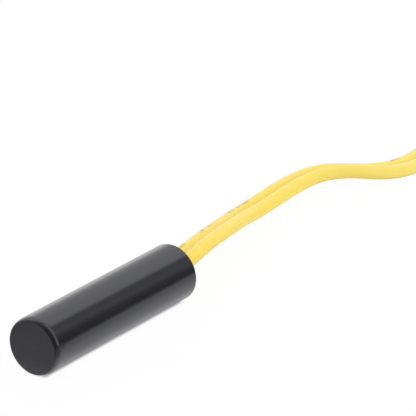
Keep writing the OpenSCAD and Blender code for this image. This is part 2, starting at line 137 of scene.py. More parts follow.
# Tie round the three runs on the hank's +Y side: its strap, and how far from its middle it lifts
# the runs
TIE_W = 2.5 * MM
TIE_T = 0.8 * MM
TIE_REACH = 14 * MM
BUNDLE_W = 2 * LANE_STEP + 2 * WIRE_R
BUNDLE_X = (HANK_START_X + HANK_END_X) / 2
BUNDLE_Y = HANK_Y + FOLD_R - (BUNDLE_W - 2 * WIRE_R) / 2
BUNDLE_Z = TIE_T + LEAD_W / 2

# Plug, from its solid
PLUG_LOW, PLUG_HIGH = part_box("plug_housing")
CONTACT_Z = (PLUG_LOW.z + PLUG_HIGH.z) / 2
# Spacing of its contacts, and how far each wire goes in
PITCH = 2.5 * MM
WIRE_IN_PLUG = 2.025 * MM

# Bare cores: three strands across, with six round a middle one, and the length of one turn
STRAND_R = CORE_D / 6
OUTER_STRANDS = 6
LAY_LENGTH = 8 * MM


class Value:
    """An output of a node. Arithmetic on it adds Math nodes."""

    def __init__(self, tree, socket):
        self.tree = tree
        self.socket = socket

    def math(self, operation, first, second):
        return self.tree.node("ShaderNodeMath", {"operation": operation}, {0: first, 1: second})

    def __add__(self, other):
        return self.math("ADD", self, other)

    def __radd__(self, other):
        return self.math("ADD", other, self)

    def __sub__(self, other):
        return self.math("SUBTRACT", self, other)

    def __rsub__(self, other):
        return self.math("SUBTRACT", other, self)

    def __mul__(self, other):
        return self.math("MULTIPLY", self, other)

    def __rmul__(self, other):
        return self.math("MULTIPLY", other, self)

    def __truediv__(self, other):
        return self.math("DIVIDE", self, other)

    def __rtruediv__(self, other):
        return self.math("DIVIDE", other, self)

    def __mod__(self, other):
        return self.math("FLOORED_MODULO", self, other)

    def __abs__(self):
        return self.math("ABSOLUTE", self, 0.0)


class Tree:
    """Adds nodes to one node tree, for a material, the world or a modifier."""

    def __init__(self, nodes):
        self.nodes = nodes

    def node(self, kind, settings=None, inputs=None, output=0):
        """Makes a node, sets it, feeds its sockets with values or links, and gives one output."""
        made = self.nodes.nodes.new(kind)
        for name, value in (settings or {}).items():
            if name == "stops":
                self.set_stops(made.color_ramp, value)
            else:
                setattr(made, name, value)
        for name, value in (inputs or {}).items():
            for one in value if isinstance(value, list) else [value]:
                if isinstance(one, Value):
                    self.nodes.links.new(one.socket, made.inputs[name])
                else:
                    made.inputs[name].default_value = one
        return Value(self, made.outputs[output]) if made.outputs else None

    def set_stops(self, ramp, stops):
        while len(ramp.elements) < len(stops):
            ramp.elements.new(0.5)
        for element, (place, grey) in zip(ramp.elements, stops):
            element.position = place
            element.color = (grey, grey, grey, 1)

    def place(self):
        return self.node("ShaderNodeTexCoord", output="Object")

    def part(self, vector, axis):
        return self.node("ShaderNodeSeparateXYZ", None, {"Vector": vector}, axis)

    def noise(self, vector, feature, detail=3.0):
        """Noise from 0 to 1 about 0.5, whose blotches are about feature metres across."""
        return self.node(
            "ShaderNodeTexNoise", None, {"Vector": vector, "Scale": 1 / feature, "Detail": detail}
        )

    def spots(self, vector, feature, start, end):
        """Spots of a coarse noise: 0 where it is below start, 1 where it is above end."""
        return self.ease(self.noise(vector, feature, detail=1.0), start, end)

    def ease(self, value, start, end, low=0.0, high=1.0):
        """Runs smoothly from low at start to high at end."""
        return self.node(
            "ShaderNodeMapRange", {"interpolation_type": "SMOOTHSTEP"},
            {"Value": value, "From Min": start, "From Max": end, "To Min": low, "To Max": high},
        )

    def mix(self, first, second, share):
        """A colour between two colours."""
        return self.node(
            "ShaderNodeMix", {"data_type": "RGBA"}, {0: share, 6: first, 7: second}, output=2
        )

    def times(self, first, second):
        """One colour times another."""
        return self.node(
            "ShaderNodeMix", {"data_type": "RGBA", "blend_type": "MULTIPLY"},
            {0: 1.0, 6: first, 7: second}, output=2,
        )

    def bump(self, height, distance):
        return self.node("ShaderNodeBump", None, {"Height": height, "Distance": distance})


def linear(red, green, blue):
    """A screen colour, 0 to 255, as the linear colour that a shader takes."""
    def one(c):
        c = c / 255
        return c / 12.92 if c <= 0.04045 else ((c + 0.055) / 1.055) ** 2.4
    return (one(red), one(green), one(blue), 1.0)


def new_material(name):
    material = bpy.data.materials.new(name)
    material.use_nodes = True
    material.node_tree.nodes.clear()
    return material, Tree(material.node_tree)


def finish(tree, sockets):
    """Ends a material with one Principled shader."""
    surface = tree.node("ShaderNodeBsdfPrincipled", None, sockets)
    tree.node("ShaderNodeOutputMaterial", None, {"Surface": surface})


# How far behind the tip face the matt of the face begins, and where it is full
MATT_FROM, MATT_TO = 0.16 * MM, 0.02 * MM


def shell_finish():
    """Black moulded plastic: a glossy side with faint handling marks, and a matt tip face."""
    material, tree = new_material("shell_black")
    place = tree.place()
    x = tree.part(place, 0)
    matt = tree.ease(x, TIP_X + MATT_FROM, TIP_X + MATT_TO)
    cloud = tree.noise(place, 2.5 * MM)
    grain = tree.noise(place, 0.09 * MM, detail=2.0)
    speck = tree.spots(place, 0.22 * MM, 0.76, 0.8)
    colour = tree.mix(linear(23, 23, 28), linear(29, 29, 34), cloud)
    colour = tree.mix(colour, linear(20, 18, 28), matt)
    colour = tree.mix(colour, linear(90, 90, 95), speck * 0.35)
    rough = 0.09 + 0.05 * cloud + 0.25 * matt + 0.2 * speck
    relief = grain * (0.004 + 0.05 * matt)
    finish(tree, {
        "Base Color": colour, "Roughness": rough, "IOR": 1.6,
        "Specular Tint": (0.93, 0.945, 1.0, 1), "Normal": tree.bump(relief, 0.1 * MM),
    })
    return material


def resin_finish():
    """Set black epoxy, glossy with shallow waves."""
    material, tree = new_material("resin_black")
    place = tree.place()
    wave = tree.noise(place, 1.4 * MM)
    pores = tree.spots(place, 0.25 * MM, 0.7, 0.78)
    finish(tree, {
        "Base Color": tree.mix(linear(20, 20, 21), linear(28, 28, 30), wave),
        "Roughness": 0.12 + 0.1 * wave + 0.25 * pores, "IOR": 1.55,
        "Normal": tree.bump(wave - 0.3 * pores, 0.03 * MM),
    })
    return material


# Worn marks on the lead, in millimetres: distance from the mouth and length of each, the length
# in which they repeat, and how far each one fades at its ends
PRINT_MARKS = [[3.2, 1.5], [8.6, 1.5], [11.0, 0.9], [17.2, 1.7], [19.6, 1.0], [21.0, 1.5]]
PRINT_PITCH = 40.5
PRINT_FADE = 0.12
# Half the height of the line of marks: where it fades out, and where it is full
PRINT_EDGE, PRINT_FULL = 0.3 * MM, 0.18 * MM
# Half the width of the lighter band along the seam between the wires, in the same way: painted
# light that offsets the shade of the groove
SEAM_EDGE, SEAM_FULL = 0.24 * MM, 0.08 * MM
# Stretch of the lead over which it turns paler
PALER_FROM, PALER_TO = 28 * MM, 52 * MM


def jacket_finish():
    """Pale yellow soft plastic, painted lighter along the seam to offset the groove's shade, and
    worn generic marks on one wire.
    """
    material, tree = new_material("lead_jacket")
    spot = tree.node("ShaderNodeAttribute", {"attribute_name": "lead_place"}, output="Vector")
    along = tree.part(spot, 0)
    across = tree.part(spot, 1)
    height = tree.part(spot, 2)
    cloud = tree.noise(spot, 6 * MM)
    grain = tree.noise(spot, 0.4 * MM, detail=1.0)
    yellow = tree.mix(linear(251, 220, 70), linear(252, 224, 88), cloud)
    paler = tree.mix(linear(252, 226, 104), linear(253, 229, 122), cloud)
    yellow = tree.mix(yellow, paler, tree.ease(along, PALER_FROM, PALER_TO))
    # Painted light: lighter along the seam, to offset the shade in the groove between the wires
    painted_seam_light = tree.ease(abs(across), SEAM_EDGE, SEAM_FULL)
    yellow = tree.mix(yellow, linear(253, 234, 160), 0.6 * painted_seam_light)
    in_pitch = (along - IN_RESIN * MM) % (PRINT_PITCH * MM)
    marks = 0.0
    for start, length in PRINT_MARKS:
        end = start + length
        begun = tree.ease(in_pitch, start * MM, (start + PRINT_FADE) * MM)
        ended = tree.ease(in_pitch, end * MM, (end + PRINT_FADE) * MM)
        marks = begun - ended + marks
    strokes = tree.spots(spot, 0.35 * MM, 0.36, 0.5)
    on_top = tree.ease(height, 0, 0.1 * MM)
    on_line = tree.ease(abs(across - WIRE_R), PRINT_EDGE, PRINT_FULL)
    ink = marks * strokes * on_line * on_top
    colour = tree.mix(yellow, linear(150, 118, 72), 0.45 * ink)
    finish(tree, {
        "Base Color": colour, "Roughness": 0.36 + 0.1 * cloud + 0.1 * ink, "IOR": 1.47,
        "Subsurface Weight": 0.25, "Subsurface Radius": (1.0, 0.7, 0.3),
        "Subsurface Scale": 0.6 * MM,
        "Sheen Weight": 0.2, "Sheen Roughness": 0.45, "Sheen Tint": (1, 0.97, 0.9, 1),
        "Normal": tree.bump(grain, 0.003 * MM),
    })
    return material


# Moulded, dipped and sintered finishes: lighter and darker colour, roughness, and in millimetres
# the size of the blotches, and the size and depth of the grain
PLAIN_FINISHES = {
    "tie_nylon": [(241, 241, 236), (232, 232, 226), 0.38, 1.5, 0.2, 0.002],
    "plug_nylon": [(238, 236, 226), (230, 227, 215), 0.42, 2.5, 0.2, 0.002],
    "bead_epoxy": [(66, 45, 36), (48, 32, 26), 0.22, 0.8, 0.2, 0.01],
    "chip_ceramic": [(86, 86, 91), (74, 74, 80), 0.6, 0.3, 0.05, 0.004],
    "leg_sleeve": [(228, 225, 214), (216, 212, 198), 0.5, 0.6, 0.1, 0.004],
    "shrink_tube": [(36, 36, 38), (28, 28, 30), 0.45, 0.7, 0.12, 0.008],
}
# Metals: lighter and darker colour, roughness, and the width of the streaks in millimetres
METALS = {
    "copper_core": [(222, 160, 118), (200, 134, 92), 0.3, 0.08],
    "tinned_wire": [(206, 204, 198), (186, 184, 178), 0.3, 0.1],
    "splice_metal": [(204, 200, 186), (184, 178, 162), 0.35, 0.1],
    "contact_metal": [(212, 198, 156), (190, 174, 130), 0.3, 0.12],
}
# Squeezed so much along X, a noise becomes streaks
STREAK_SQUEEZE = (0.08, 1.0, 1.0)


def plain_finish(name):
    """Two close colours in soft blotches over a fine grain."""
    light, dark, rough, blotch, grain_size, grain_depth = PLAIN_FINISHES[name]
    material, tree = new_material(name)
    place = tree.place()
    cloud = tree.noise(place, blotch * MM)
    grain = tree.noise(place, grain_size * MM, detail=2.0)
    finish(tree, {
        "Base Color": tree.mix(linear(*light), linear(*dark), cloud),
        "Roughness": rough + 0.15 * (cloud - 0.5), "IOR": 1.5,
        "Normal": tree.bump(grain, grain_depth * MM),
    })
    return material


def metal_finish(name):
    """A drawn or stamped metal: fine streaks along X, and duller blotches."""
    light, dark, rough, streak = METALS[name]
    material, tree = new_material(name)
    place = tree.place()
    drawn = tree.node("ShaderNodeMapping", None, {"Vector": place, "Scale": STREAK_SQUEEZE})
    streaks = tree.noise(drawn, streak * MM, detail=2.0)
    cloud = tree.noise(place, 1.2 * MM)
    finish(tree, {
        "Base Color": tree.mix(linear(*light), linear(*dark), cloud), "Metallic": 1.0,
        "Roughness": rough + 0.2 * (streaks - 0.5) + 0.15 * (cloud - 0.5),
        "Normal": tree.bump(streaks, 0.01 * MM),
    })
    return material


# Light of the world on every surface
WORLD_LIGHT = 0.98
# Way to the back of the tent, and its light as a gloss shows it: share of a half turn, from the
# dark open front over the roof lamp to the white back
TENT_BACK = (0.629, 0.777)
TENT_STOPS = [
    (0.0, 0.08), (0.25, 0.1), (0.43, 0.14), (0.49, 0.31), (0.53, 0.44), (0.565, 0.345), (0.6, 0.32),
    (0.616, 0.42), (0.636, 1.0), (0.68, 1.0), (0.74, 0.89), (0.835, 0.76), (0.87, 0.745),
    (0.94, 0.92), (1.0, 1.05),
]
TENT_LIGHT = 1.4
# Tints of what a gloss shows: the roof and the front of the floor, and the white back; and the
# share of the half turn in which one turns into the other
COOL = (0.985, 0.985, 1.04, 1)
WARM = (1.02, 0.99, 0.985, 1)
WARM_FROM, WARM_TO = 0.86, 0.98
# A tall strip lamp at the front, as a gloss shows it: its place across, the softness of its sides
# and of its end, and its light
STRIP_FROM, STRIP_TO = 0.4, 0.61
STRIP_EDGE = 0.04
STRIP_END = 0.1
STRIP_LIGHT = 1.3


def studio_world():
    """A white tent. A gloss shows its dark open front, strip lamp, roof light and white back."""
    world = bpy.data.worlds.new("studio")
    scene.world = world
    world.use_nodes = True
    world.node_tree.nodes.clear()
    tree = Tree(world.node_tree)
    direction = tree.node("ShaderNodeTexCoord", output="Generated")
    front = tree.part(direction, 0) * -TENT_BACK[0] - tree.part(direction, 1) * TENT_BACK[1]
    turn = front.math("ARCTAN2", tree.part(direction, 2), front) / math.pi
    tent = tree.node("ShaderNodeValToRGB", {"stops": TENT_STOPS}, {"Fac": turn})
    across = tree.part(direction, 0)
    strip = tree.ease(across, STRIP_FROM - STRIP_EDGE, STRIP_FROM)
    strip = strip * tree.ease(across, STRIP_TO + STRIP_EDGE, STRIP_TO)
    strip = strip * tree.ease(tree.part(direction, 1), STRIP_END, -STRIP_END)
    level = tree.mix(tent, (STRIP_LIGHT / TENT_LIGHT,) * 3 + (1,), strip)
    tint = tree.mix(COOL, WARM, tree.ease(turn, WARM_FROM, WARM_TO))
    mirrored = tree.node(
        "ShaderNodeBackground", None, {"Color": tree.times(level, tint), "Strength": TENT_LIGHT}
    )
    white = tree.node(
        "ShaderNodeBackground", None, {"Color": (1, 1, 1, 1), "Strength": WORLD_LIGHT}
    )
    gloss = tree.node("ShaderNodeLightPath", output="Is Glossy Ray")
    shown = tree.node("ShaderNodeMixShader", None, {0: gloss, 1: white, 2: mirrored})
    tree.node("ShaderNodeOutputWorld", None, {"Surface": shown})


# Floor: side of its square, and how much of it is plain white to the camera and to a gloss
FLOOR_SIDE = 6.0
WHITE_TO_CAMERA = 0.965
WHITE_TO_GLOSS = 0.6
# Light painted on the floor, which only a gloss shows: a painted reflection of uneven light. Each
# row: two places, and its light at the one and at the other.
# By y: far in front of the probe, close before it, close behind it, and further back
GLOSS_FRONT = (-40 * MM, -14 * MM, 0.0, 1.0)
GLOSS_NEAR_FRONT = (-11 * MM, -4.5 * MM, 1.0, 1.4)
GLOSS_NEAR_BACK = (6 * MM, 10 * MM, 1.0, 0.5)
GLOSS_BACK = (14 * MM, 60 * MM, 0.0, 0.5)
# By x: before the tip face
GLOSS_TIP = (-14 * MM, -11.3 * MM, 0.42, 1.0)
# A dark corner in front of the tip, painted shade on the floor which only a gloss shows and the
# tip's rounded edge reflects: by x and y along a slant, by y, and how dark it is
PAINTED_CORNER_SLANT = 1.1
PAINTED_CORNER_SIDE = (-13.4 * MM, -15.6 * MM)
PAINTED_CORNER_FRONT = (-5 * MM, -7 * MM)
PAINTED_CORNER_SHADE = 0.6
# The probe's shadow, painted on the floor as shade that only a gloss shows: by the distance from
# its axis, by x, and how dark it is
PAINTED_SHADOW_SIDE = (2.6 * MM, 1.1 * MM)
PAINTED_SHADOW_TIP = (-10.9 * MM, -10.2 * MM)
PAINTED_SHADOW_DARK = 0.62
# Tint of the light painted on the floor for a gloss, by y: cool to warm
FLOOR_WARM = (0, 5 * MM)
# Where the probe touches, the camera sees more of the real shadow: by the distance from the axis,
# from the tip and from the mouth, and how much more
TOUCH_SIDE = (1.5 * MM, 0.95 * MM)
TOUCH_TIP = (TIP_X, TIP_X + 0.8 * MM)
TOUCH_MOUTH = (MOUTH_X + 0.2 * MM, MOUTH_X - 0.3 * MM)
TOUCH_DARK = 0.66


def floor_finish():
    """Glossy white sheet that keeps a faint shadow of the object. For a gloss it glows with painted
    light and painted shade: uneven pools, a dark corner and the probe's shadow.
    """
    material, tree = new_material("white_sheet")
    sheet = tree.node("ShaderNodeBsdfPrincipled", None, {
        "Base Color": (0.93, 0.93, 0.935, 1), "Roughness": 0.3, "IOR": 1.49,
    })
    seen = tree.node("ShaderNodeLightPath", output="Is Camera Ray")
    mirrored = tree.node("ShaderNodeLightPath", output="Is Glossy Ray")
    place = tree.place()
    x = tree.part(place, 0)
    y = tree.part(place, 1)
    off_axis = abs(y)
    # Painted light: pools of glow on the floor that only a gloss sees
    front = tree.ease(y, *GLOSS_FRONT) * tree.ease(y, *GLOSS_NEAR_FRONT)
    back = tree.ease(y, *GLOSS_NEAR_BACK) + tree.ease(y, *GLOSS_BACK)
    # Painted shade: a dark corner on the floor that only a gloss sees
    corner = tree.ease(x + PAINTED_CORNER_SLANT * y, *PAINTED_CORNER_SIDE) * tree.ease(y, *PAINTED_CORNER_FRONT)
    # Painted shadow of the probe on the floor, for a gloss only
    painted_shadow = tree.ease(off_axis, *PAINTED_SHADOW_SIDE) * tree.ease(x, *PAINTED_SHADOW_TIP)
    lit = front * back * tree.ease(x, *GLOSS_TIP)
    lit = lit * (1 - PAINTED_CORNER_SHADE * corner) * (1 - PAINTED_SHADOW_DARK * painted_shadow)
    # A gloss sees the floor glow by the painted light and shade; the camera sees it plain white
    level = 1 - mirrored * (1 - lit)
    tint = tree.mix(COOL, WARM, tree.ease(y, *FLOOR_WARM))
    tint = tree.mix((1, 1, 1, 1), tint, mirrored)
    white = tree.node("ShaderNodeEmission", None, {"Color": tint, "Strength": level})
    through = tree.node("ShaderNodeLightPath", output="Is Transmission Ray")
    touch = tree.ease(off_axis, *TOUCH_SIDE)
    touch = touch * tree.ease(x, *TOUCH_TIP) * tree.ease(x, *TOUCH_MOUTH)
    share = seen * (WHITE_TO_CAMERA - TOUCH_DARK * touch)
    share = share + WHITE_TO_GLOSS * mirrored + WHITE_TO_CAMERA * through
    shown = tree.node("ShaderNodeMixShader", None, {0: share, 1: sheet, 2: white})
    tree.node("ShaderNodeOutputMaterial", None, {"Surface": shown})
    return material


def floor():
    half = FLOOR_SIDE / 2
    corners = [(-half, -half, 0), (half, -half, 0), (half, half, 0), (-half, half, 0)]
    sheet = new_piece("floor", corners, [(0, 1, 2, 3)], floor_finish())


# Soft lamps: name, place, aim and side in metres, power in watts
LAMPS = [
    ["key", (-0.10, -0.20, 0.42), (0.02, 0.0, 0.0), 0.35, 0.03],
    ["fill", (0.04, -0.36, 0.08), (0.04, 0.0, 0.0), 0.3, 0.18],
]


def lamp(name, place, aim, side, power):
    """A square soft lamp. It lights surfaces but isn't mirrored, since the tent already is."""
    light = bpy.data.lights.new(name, "AREA")
    light.shape = "SQUARE"
    light.size = side
    light.energy = power
    made = bpy.data.objects.new(name, light)
    made.location = place
    made.rotation_mode = "QUATERNION"
    made.rotation_quaternion = (Vector(aim) - Vector(place)).to_track_quat("-Z", "Y")
    made.visible_glossy = False
    scene.collection.objects.link(made)


def camera():
    data = bpy.data.cameras.new("camera")
    data.lens = CAMERA_LENS
    data.sensor_width = SENSOR_WIDTH
    data.clip_start = 0.01
    data.clip_end = 20
    made = bpy.data.objects.new("camera", data)
    made.location = CAMERA_PLACE
    made.rotation_mode = "QUATERNION"
    made.rotation_quaternion = (CAMERA_AIM - CAMERA_PLACE).to_track_quat("-Z", "Y")
    scene.collection.objects.link(made)
    scene.camera = made


def outward(mesh):
    """Turns the faces of a closed mesh outwards."""
    work = bmesh.new()
    work.from_mesh(mesh)
    bmesh.ops.recalc_face_normals(work, faces=work.faces)
    work.to_mesh(mesh)
    work.free()


def smooth(mesh, sharp_above):
    """Smooth shading, but for edges sharper than so many degrees."""
    mesh.shade_smooth()
    mesh.set_sharp_from_angle(angle=math.radians(sharp_above))


def new_piece(name, verts, faces, material, sharp_above=40):
    """A mesh object at the origin, its faces outwards."""
    mesh = bpy.data.meshes.new(name)
    mesh.from_pydata([tuple(v) for v in verts], [], faces)
    outward(mesh)
    smooth(mesh, sharp_above)
    mesh.materials.append(material)
    piece = bpy.data.objects.new(name, mesh)
    scene.collection.objects.link(piece)
    return piece


def applied(piece):
    """Turns a piece's modifiers into plain mesh and removes them."""
    evaluated = piece.evaluated_get(bpy.context.evaluated_depsgraph_get())
    mesh = bpy.data.meshes.new_from_object(evaluated)
    piece.modifiers.clear()
    piece.data = mesh
    return piece


def seated(piece, slot, *nodes):
    """Rides the piece on the object in place of its CAD nodes."""
    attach(piece, "root")
    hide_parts(*nodes)
    return piece


def arc(x, r, radius, start, end, steps):
    """Points on an arc about (x, r); angles in degrees from the first axis."""
    angles = [math.radians(start + (end - start) * i / steps) for i in range(steps + 1)]
    return [(x + radius * math.cos(a), r + radius * math.sin(a)) for a in angles]


def lathe(outline, steps):
    """Turns an outline of (x, radius) about the probe's axis, on which it starts and ends."""
    verts = [(outline[0][0], 0, AXIS_Z)]
    for x, r in outline[1:-1]:
        turn = [2 * math.pi * k / steps for k in range(steps)]
        verts += [(x, r * math.cos(a), AXIS_Z + r * math.sin(a)) for a in turn]
    verts.append((outline[-1][0], 0, AXIS_Z))
    last = len(verts) - 1
    rings = len(outline) - 2
    faces = [(0, 1 + k, 1 + (k + 1) % steps) for k in range(steps)]
    for i in range(rings - 1):
        base = 1 + i * steps
        for k in range(steps):
            after = (k + 1) % steps
            faces.append((base + k, base + steps + k, base + steps + after, base + after))
    base = 1 + (rings - 1) * steps
    faces += [(base + k, last, base + (k + 1) % steps) for k in range(steps)]
    return verts, faces


def bore_r(x):
    """Radius of the shell's tapered bore at x."""
    start = TIP_X + TIP_WALL
    share = (x - start) / (MOUTH_X - start)
    return CAP_R - CAP_WALL - BORE_DRAFT * (1 - share)


def probe_shell():
    """Closed tube with a rounded tip edge, a gate dimple and a rounded mouth."""
    dish_steps = 8
    dish = [
        (TIP_X + GATE_DEPTH * (1 + math.cos(math.pi * i / dish_steps)) / 2, GATE_R * i / dish_steps)
        for i in range(dish_steps + 1)
    ]
    bore_x = TIP_X + TIP_WALL
    bore_mouth = bore_r(MOUTH_X)
    outline = dish
    outline += [(TIP_X, CAP_R * 0.5), (TIP_X, CAP_R - TIP_ROUND - HOLD)]
    stretch = TIP_REACH / TIP_ROUND
    round_edge = arc(0, CAP_R - TIP_ROUND, TIP_ROUND, 180, 90, 18)
    outline += [(TIP_X + TIP_REACH + x * stretch, r) for x, r in round_edge]
    outline += [(TIP_X + TIP_REACH + HOLD, CAP_R), (MOUTH_X - MOUTH_ROUND - HOLD, CAP_R)]
    outline += arc(MOUTH_X - MOUTH_ROUND, CAP_R - MOUTH_ROUND, MOUTH_ROUND, 90, 0, 8)
    outline += [(MOUTH_X, bore_mouth + BORE_EDGE + HOLD)]
    outline += arc(MOUTH_X - BORE_EDGE, bore_mouth + BORE_EDGE, BORE_EDGE, 0, -90, 4)
    outline += [(bore_x, bore_r(bore_x)), (bore_x, 0)]
    piece = new_piece("probe_shell", *lathe(outline, SHELL_ROUNDS), shell_finish())
    seated(piece, "shell", "probe_cap")


def resin_fill():
    """Resin in the bore; its open end creeps up the wall and up the lead."""
    level = MOUTH_X - FILL_DROP
    rim_r = bore_r(level)
    start = TIP_X + TIP_WALL

    def height(y, z):
        from_wall = rim_r - math.hypot(y, z - AXIS_Z)
        wires = [math.hypot(y - EXIT.y - side * WIRE_R, z - EXIT.z) - WIRE_R for side in (-1, 1)]
        from_lead = max(min(wires), 0)
        wet_wall = WALL_CLIMB * math.exp(-from_wall / CREEP_REACH)
        return level + wet_wall + LEAD_CLIMB * math.exp(-from_lead / CREEP_REACH)

    shares = [(1 - i / RESIN_RINGS) ** RING_CROWDING for i in range(RESIN_RINGS, 0, -1)]
    open_end = [(level, rim_r * (1 - share)) for share in shares]
    outline = [(start, 0), (start, bore_r(start))] + open_end + [(level, 0)]
    verts, faces = lathe(outline, RESIN_ROUNDS)
    raised = [(height(y, z) if abs(x - level) < CLOSE else x, y, z) for x, y, z in verts]
    seated(new_piece("resin_fill", raised, faces, resin_finish()), "resin", "potting")


def lane_r(k):
    """Distance of the lead's middle from the hank's middle line, k half lanes in from outside."""
    return FOLD_R - k * LANE_STEP / 2


def tie_lift(x):
    """Height by which the tie's strap lifts the runs that it holds."""
    near = (TIE_REACH - abs(x - BUNDLE_X)) / (TIE_REACH - TIE_W)
    near = min(max(near, 0), 1)
    return TIE_T * near * near * (3 - 2 * near)


def hank_points():
    """Runs side by side on edge, joined by half-round folds, each half a lane further in."""
    points = []
    for k in range(RUNS):
        side = 1 if k % 2 == 0 else -1
        start_x, end_x = (HANK_START_X, HANK_END_X)[::side]
        for i in range(1, RUN_POINTS):
            x = start_x + (end_x - start_x) * i / RUN_POINTS
            lift = tie_lift(x) if side == 1 else 0
            points.append([x, HANK_Y + side * lane_r(k), LEAD_W / 2 + lift, 90])
        for i in range(FOLD_POINTS + 1):
            angle = math.pi / 2 - math.pi * i / FOLD_POINTS
            r = lane_r(k + i / FOLD_POINTS)
            x = end_x + side * r * math.cos(angle)
            points.append([x, HANK_Y + side * r * math.sin(angle), LEAD_W / 2, 90])
    return points


def in_metres(points, start_x, start_y):
    return [[start_x + p[0] * MM, start_y + p[1] * MM, p[2] * MM, p[3]] for p in points]


def lead_route():
    """Points of the flat lead, from the resin to where its wires part."""
    route = [[MOUTH_X + x * MM, EXIT.y, EXIT.z, 0] for x in EXIT_STEPS]
    route += in_metres(FREE_POINTS, MOUTH_X, 0)
    route += hank_points()
    route += in_metres(TAIL_POINTS[1:], HANK_END_X, HANK_Y - lane_r(RUNS))
    return route


def wire_route(side):
    """Points of one parted wire, from the end of the flat lead into its contact."""
    tail = in_metres(TAIL_POINTS, HANK_END_X, HANK_Y - lane_r(RUNS))[-1]
    shares = [[TAIL_POINTS[-1][0], 0, 0]] + FORK_POINTS
    points = [[HANK_END_X + p[0] * MM, p[1], p[2]] for p in shares]
    points.append([PLUG_HIGH.x - WIRE_IN_PLUG, 1, 1])
    spread = PITCH / 2 - WIRE_R
    return [
        [x, tail[1] - side * (WIRE_R + share * spread), tail[2] + rise * (CONTACT_Z - tail[2]), 0]
        for x, share, rise in points
    ]


def stations(points, start=0.0):
    """Even stations on the smooth curve through the points, each a distance, x, y, z and roll."""
    p = np.array(points, float)
    p = np.vstack([2 * p[0] - p[1], p, 2 * p[-1] - p[-2]])
    fine = []
    for a, b, c, d in zip(p, p[1:], p[2:], p[3:]):
        for t in np.linspace(0, 1, CURVE_STEPS, endpoint=False):
            square = 2 * a - 5 * b + 4 * c - d
            cube = 3 * b - 3 * c + d - a
            fine.append((2 * b + (c - a) * t + square * t ** 2 + cube * t ** 3) / 2)
    fine = np.array(fine + [p[-2]])
    steps = np.linalg.norm(np.diff(fine[:, :3], axis=0), axis=1)
    reach = np.concatenate([[0], np.cumsum(steps)])
    even = np.linspace(0, reach[-1], round(reach[-1] / RING_STEP) + 1)
    columns = [np.interp(even, reach, fine[:, k]) for k in range(4)]
    return np.column_stack([even + start, *columns])


def without_waves(rows, until):
    """Evens out small waves up to a distance, with a weighted mean over five stations, twice."""
    weights = np.array([1, 4, 6, 4, 1]) / 16
    for _ in range(2):
        means = sum(w * rows[k:len(rows) - 4 + k, 1:] for k, w in enumerate(weights))
        inside = rows[2:-2, 0] < until
        rows[2:-2, 1:][inside] = means[inside]
    return rows


def circle_points(first, last, side):
    """Section points (across, up) of one wire, between two of its circle's even steps."""
    found = []
    for i in range(first, last + 1):
        angle = math.pi - 2 * math.pi * i / CIRCLE_POINTS
        across = WIRE_R + WIRE_R * math.cos(angle)
        found.append((side * across, side * WIRE_R * math.sin(angle)))
    return found


def notch_points(side):
    """Section points across the groove between the wires, above for side 1 and below for -1."""
    tilt = 2 * math.pi * WEB_POINTS / CIRCLE_POINTS
    middle = WIRE_R * math.tan(tilt)
    radius = WIRE_R / math.cos(tilt) - WIRE_R
    angles = [math.radians(side * a) for a in GROOVE_ANGLES]
    return [(side * radius * math.cos(a), side * middle + radius * math.sin(a)) for a in angles]


def ring(station, ahead, section, shift):
    """Points of a section at a station, and their straightened places on the lead."""
    distance, x, y, z, roll = station
    leftward = Vector((0, 0, 1)).cross(ahead).normalized()
    upward = ahead.cross(leftward)
    tilt = math.radians(roll)
    wide = leftward * math.cos(tilt) + upward * math.sin(tilt)
    tall = upward * math.cos(tilt) - leftward * math.sin(tilt)
    verts = [Vector((x, y, z)) + wide * (a - shift) + tall * b for a, b in section]
    return verts, [(distance, a, b) for a, b in section]


def tube_faces(first, rings, count):
    """Faces of a closed tube: its sides between rings of count points, and its two ends."""
    faces = []
    for i in range(rings - 1):
        base = first + i * count
        for k in range(count):
            after = (k + 1) % count
            faces.append((base + k, base + after, base + count + after, base + count + k))
    last = first + (rings - 1) * count
    return faces + [tuple(range(first, first + count)), tuple(range(last, last + count))]


def tube(rows, section, shift, verts, places, faces):
    """Adds a closed tube along the stations. Shift moves its section across, but not its map."""
    faces += tube_faces(len(verts), len(rows), len(section))
    headings = np.gradient(rows[:, 1:4], axis=0)
    for station, ahead in zip(rows, headings):
        points, spots = ring(station, Vector(ahead).normalized(), section, shift)
        verts += points
        places += spots


def twin_lead():
    """The lead in one mesh: flat along its route, then parted into its two wires at the plug."""
    last_point = CIRCLE_POINTS - WEB_POINTS
    section = circle_points(WEB_POINTS, last_point, 1) + notch_points(-1)
    section += circle_points(WEB_POINTS, last_point, -1) + notch_points(1)
    flat = without_waves(stations(lead_route()), IN_RESIN * MM + FREE_POINTS[-1][0] * MM)
    verts, places, faces = [], [], []
    tube(flat, section, 0, verts, places, faces)
    for side in (1, -1):
        wire = circle_points(0, CIRCLE_POINTS - 1, side)
        tube(stations(wire_route(side), flat[-1, 0]), wire, side * WIRE_R, verts, places, faces)
    piece = new_piece("twin_lead", verts, faces, jacket_finish(), sharp_above=60)
    spots = piece.data.attributes.new("lead_place", "FLOAT_VECTOR", "POINT")
    spots.data.foreach_set("vector", [c for spot in places for c in spot])
    path = [list(row[1:4]) for row in flat]
    middle = [(np.array(a) + np.array(b)) / 2 for a, b in zip(wire_route(1), wire_route(-1))]
    path += [list(p[:3]) for p in middle[1:]]
    seated(piece, "lead_jacket", "lead_free", "lead_hank", "lead_tail")
    return piece, path


